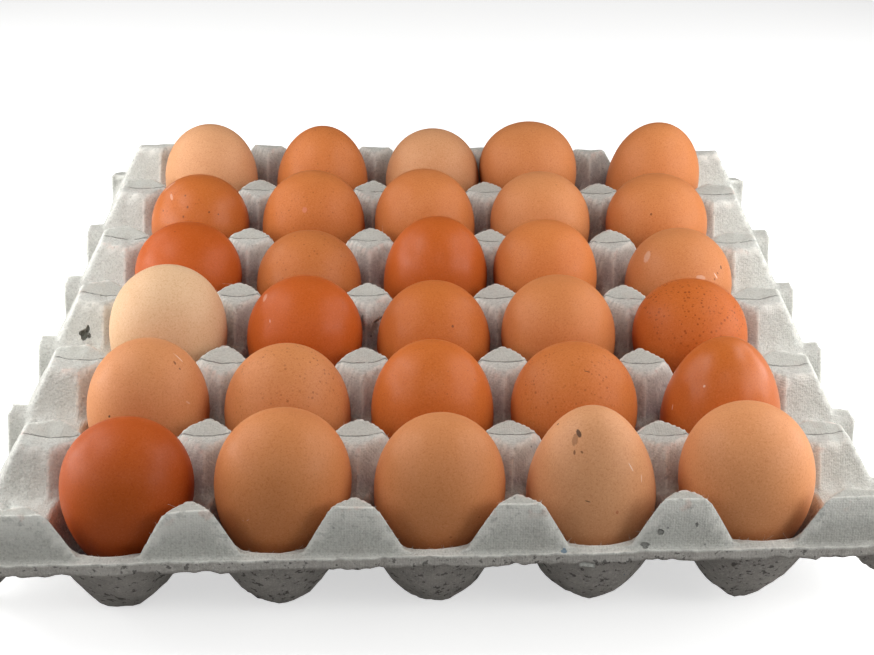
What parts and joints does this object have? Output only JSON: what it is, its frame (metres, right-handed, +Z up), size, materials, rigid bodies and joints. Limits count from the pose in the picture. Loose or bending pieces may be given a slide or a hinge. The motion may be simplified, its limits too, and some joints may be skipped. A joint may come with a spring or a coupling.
{
  "type": "tray of eggs",
  "caption": "Square moulded pulp tray with conical cups and flat-topped peaks, holding brown hen's eggs that stand upright in its cups.",
  "frame": {"origin": "middle of the tray on the plane that its cups stand on", "axes": "+X to the right along the rows of five, +Y to the back along the columns of six, +Z up out of the cups"},
  "size_m": [0.297, 0.301, 0.0725],
  "materials": {
    "pulp": "matte, rough moulded pulp, light warm grey",
    "shell_pale": "satin eggshell, pale cream",
    "shell_tan": "satin eggshell, light orange tan",
    "shell_orange": "satin eggshell, orange brown",
    "shell_red": "satin eggshell, dark red brown"
  },
  "bodies": {
    "root": {"tray": "pulp", "egg_r1_c1": "shell_tan", "egg_r1_c2": "shell_orange", "egg_r1_c3": "shell_tan", "egg_r1_c4": "shell_orange", "egg_r1_c5": "shell_orange", "egg_r2_c1": "shell_orange", "egg_r2_c2": "shell_tan", "egg_r2_c3": "shell_orange", "egg_r2_c4": "shell_tan", "egg_r2_c5": "shell_tan", "egg_r3_c1": "shell_red", "egg_r3_c2": "shell_tan", "egg_r3_c3": "shell_red", "egg_r3_c4": "shell_orange", "egg_r3_c5": "shell_tan", "egg_r4_c1": "shell_pale", "egg_r4_c2": "shell_red", "egg_r4_c3": "shell_orange", "egg_r4_c4": "shell_tan", "egg_r4_c5": "shell_orange", "egg_r5_c1": "shell_tan", "egg_r5_c2": "shell_tan", "egg_r5_c3": "shell_orange", "egg_r5_c4": "shell_orange", "egg_r5_c5": "shell_red", "egg_r6_c1": "shell_red", "egg_r6_c2": "shell_tan", "egg_r6_c3": "shell_tan", "egg_r6_c4": "shell_tan", "egg_r6_c5": "shell_tan"}
  },
  "joints": []
}
